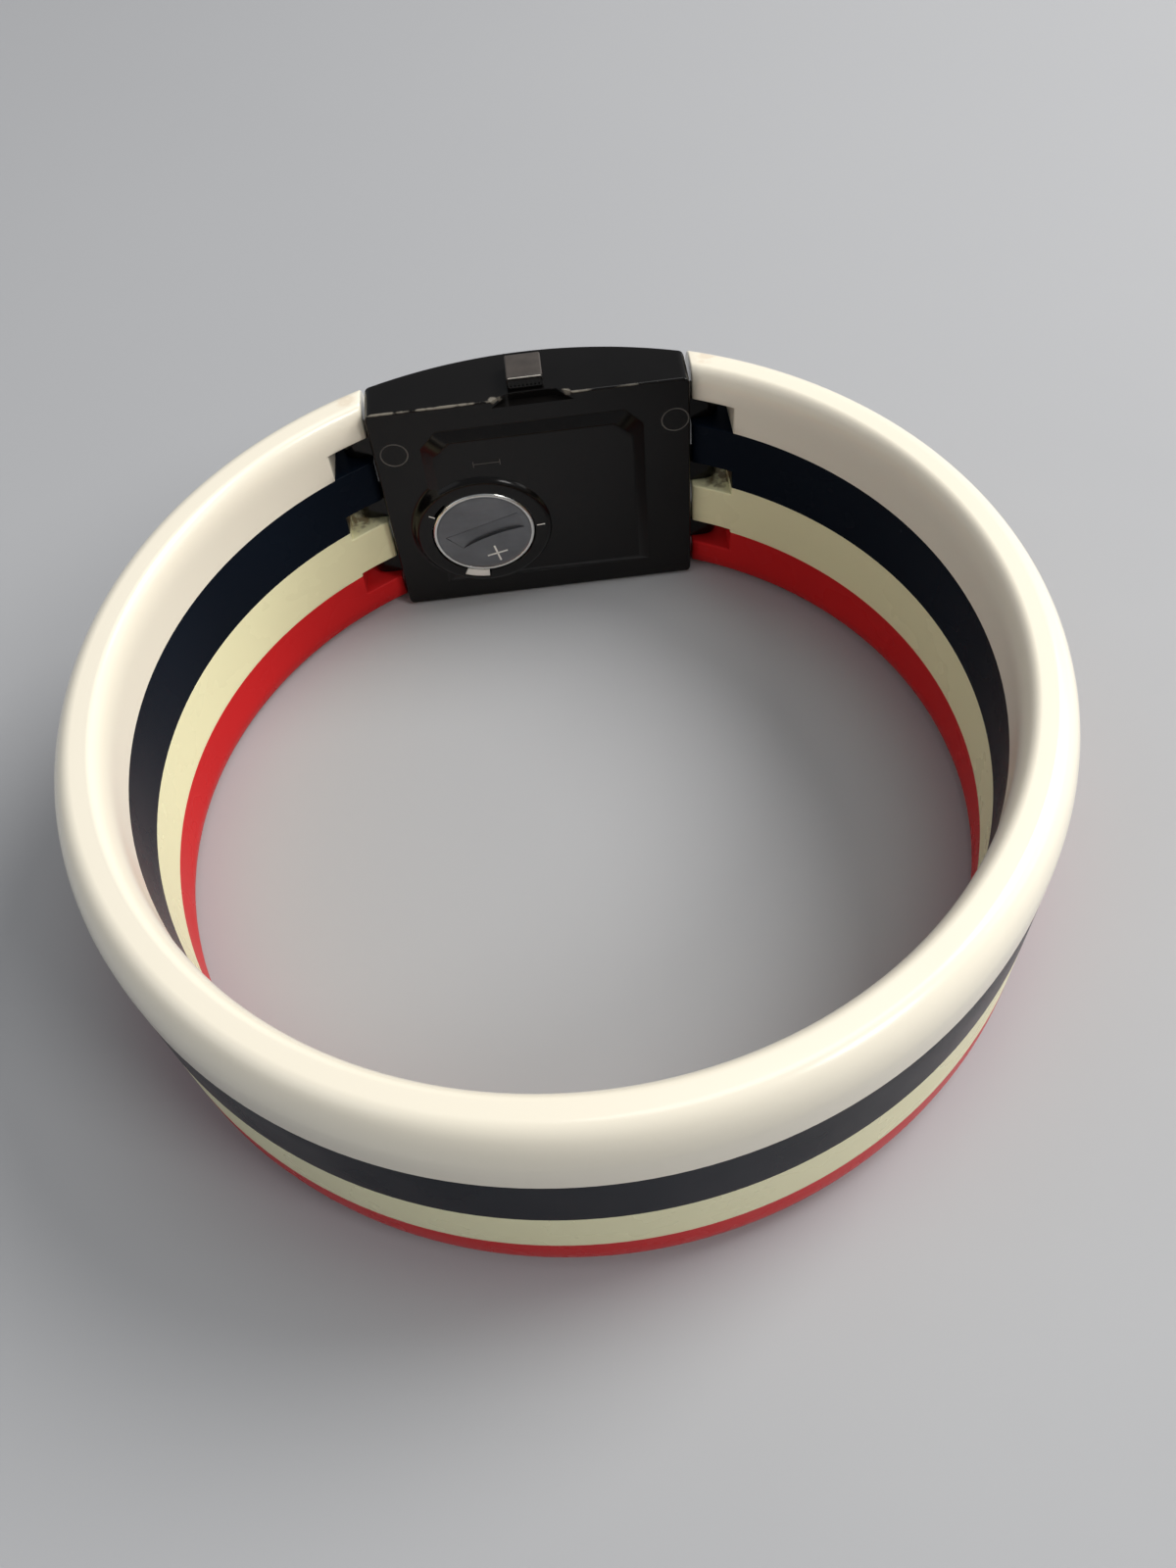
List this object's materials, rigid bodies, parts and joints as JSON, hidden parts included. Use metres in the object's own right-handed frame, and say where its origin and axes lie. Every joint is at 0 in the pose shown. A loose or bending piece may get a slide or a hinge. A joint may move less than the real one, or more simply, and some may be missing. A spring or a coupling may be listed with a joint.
{
  "type": "bangle wristwatch",
  "caption": "Slip-over rigid plastic bangle watch in four coloured layers, with a black rectangular quartz case pinned between the bangle's slotted ends",
  "frame": {"origin": "Under the middle of the whole watch, on the surface that it stands on (the red edge of the bangle)", "axes": "+Z is the bangle's axis, pointing up out of the white edge and the crown; +Y points out through the dial; +X runs along the case, towards twelve o'clock"},
  "size_m": [0.069, 0.067, 0.023],
  "materials": {
    "white_plastic": "polished",
    "navy_plastic": "polished",
    "cream_plastic": "polished",
    "red_plastic": "polished",
    "black_plastic": "semi-gloss, moulded",
    "hatch_steel": "brushed, coin-slotted",
    "steel": "satin",
    "brass": "satin",
    "iron": "soft iron, matte",
    "copper": "enamelled wire, wound",
    "rubber": "matte",
    "crystal": "clear, polished",
    "dial_white": "matte lacquer",
    "hand_black": "gloss lacquer",
    "hand_red": "gloss lacquer",
    "board_green": "solder mask",
    "chip_black": "moulded resin",
    "crown_grey": "matte, worn"
  },
  "bodies": {
    "watch_body": {"bangle_red": "red_plastic", "bangle_cream": "cream_plastic", "bangle_navy": "navy_plastic", "bangle_white": "white_plastic", "lug_pin_left": "steel", "lug_pin_right": "steel", "case_body": "black_plastic", "hatch_gasket": "rubber", "battery_cell": "steel", "battery_contact": "brass", "crystal": "crystal", "dial": "dial_white", "main_plate": "brass", "train_bridge": "brass", "circuit_board": "board_green", "driver_chip": "chip_black", "quartz_resonator": "steel", "stator": "iron", "coil_core": "iron", "coil_winding": "copper", "crown_gasket": "rubber"},
    "hatch_body": {"battery_hatch": "hatch_steel"},
    "rotor_body": {"rotor": "iron"},
    "intermediate_body": {"intermediate_wheel": "brass"},
    "second_hand_train": {"second_wheel": "brass", "second_hand": "hand_red"},
    "third_body": {"third_wheel": "brass"},
    "minute_hand_train": {"centre_wheel": "brass", "minute_hand": "hand_black"},
    "minute_wheel_body": {"minute_wheel": "brass"},
    "hour_hand_train": {"hour_wheel": "brass", "hour_hand": "hand_black"},
    "setting_wheel_body": {"setting_wheel": "steel"},
    "setting_pinion_body": {"setting_pinion": "steel"},
    "stem_body": {"setting_stem": "steel", "crown": "crown_grey"},
    "lever_body": {"setting_lever": "steel"}
  },
  "joints": [
    {"name": "second_spin", "type": "hinge", "parent": "watch_body", "child": "second_hand_train", "pos_m": [0, 0.02909, 0.01097], "axis": [0, 1, 0], "continuous": true},
    {"name": "rotor_spin", "type": "hinge", "parent": "watch_body", "child": "rotor_body", "pos_m": [0.00284, 0.02941, 0.01346], "axis": [0, 1, 0], "continuous": true},
    {"name": "intermediate_spin", "type": "hinge", "parent": "watch_body", "child": "intermediate_body", "pos_m": [0.00106, 0.02891, 0.01281], "axis": [0, 1, 0], "continuous": true},
    {"name": "third_spin", "type": "hinge", "parent": "watch_body", "child": "third_body", "pos_m": [0.00101, 0.02929, 0.00922], "axis": [0, 1, 0], "continuous": true},
    {"name": "minute_spin", "type": "hinge", "parent": "watch_body", "child": "minute_hand_train", "pos_m": [0, 0.02951, 0.01097], "axis": [0, 1, 0], "continuous": true},
    {"name": "motion_spin", "type": "hinge", "parent": "watch_body", "child": "minute_wheel_body", "pos_m": [0, 0.03029, 0.01307], "axis": [0, 1, 0], "continuous": true},
    {"name": "hour_spin", "type": "hinge", "parent": "watch_body", "child": "hour_hand_train", "pos_m": [0, 0.03048, 0.01097], "axis": [0, 1, 0], "continuous": true},
    {"name": "setting_wheel_spin", "type": "hinge", "parent": "watch_body", "child": "setting_wheel_body", "pos_m": [0, 0.03029, 0.01556], "axis": [0, 1, 0], "continuous": true},
    {"name": "hatch_turn", "type": "hinge", "parent": "watch_body", "child": "hatch_body", "pos_m": [-0.0051, 0.02696, 0.00877], "axis": [0, 1, 0], "range_deg": [0, 60]},
    {"name": "crown_turn", "type": "hinge", "parent": "watch_body", "child": "setting_pinion_body", "pos_m": [0, 0.02996, 0.01737], "axis": [0, 0, 1], "continuous": true},
    {"name": "crown_pull", "type": "slide", "parent": "setting_pinion_body", "child": "stem_body", "axis": [0, 0, 1], "range_m": [0, 0.0009]},
    {"name": "lever_swing", "type": "hinge", "parent": "watch_body", "child": "lever_body", "pos_m": [0.00256, 0.03052, 0.01867], "axis": [0, 1, 0], "range_deg": [0, 23.4]}
  ],
  "couplings": [
    {"joint": "intermediate_spin", "follows": "second_spin", "ratio": -5},
    {"joint": "rotor_spin", "follows": "second_spin", "ratio": 30},
    {"joint": "third_spin", "follows": "second_spin", "ratio": -0.13333},
    {"joint": "minute_spin", "follows": "second_spin", "ratio": 0.016667},
    {"joint": "motion_spin", "follows": "second_spin", "ratio": -0.0055556},
    {"joint": "hour_spin", "follows": "second_spin", "ratio": 0.0013889},
    {"joint": "setting_wheel_spin", "follows": "second_spin", "ratio": 0.0095238},
    {"joint": "lever_swing", "follows": "crown_pull", "rad_per_m": 453.59}
  ]
}
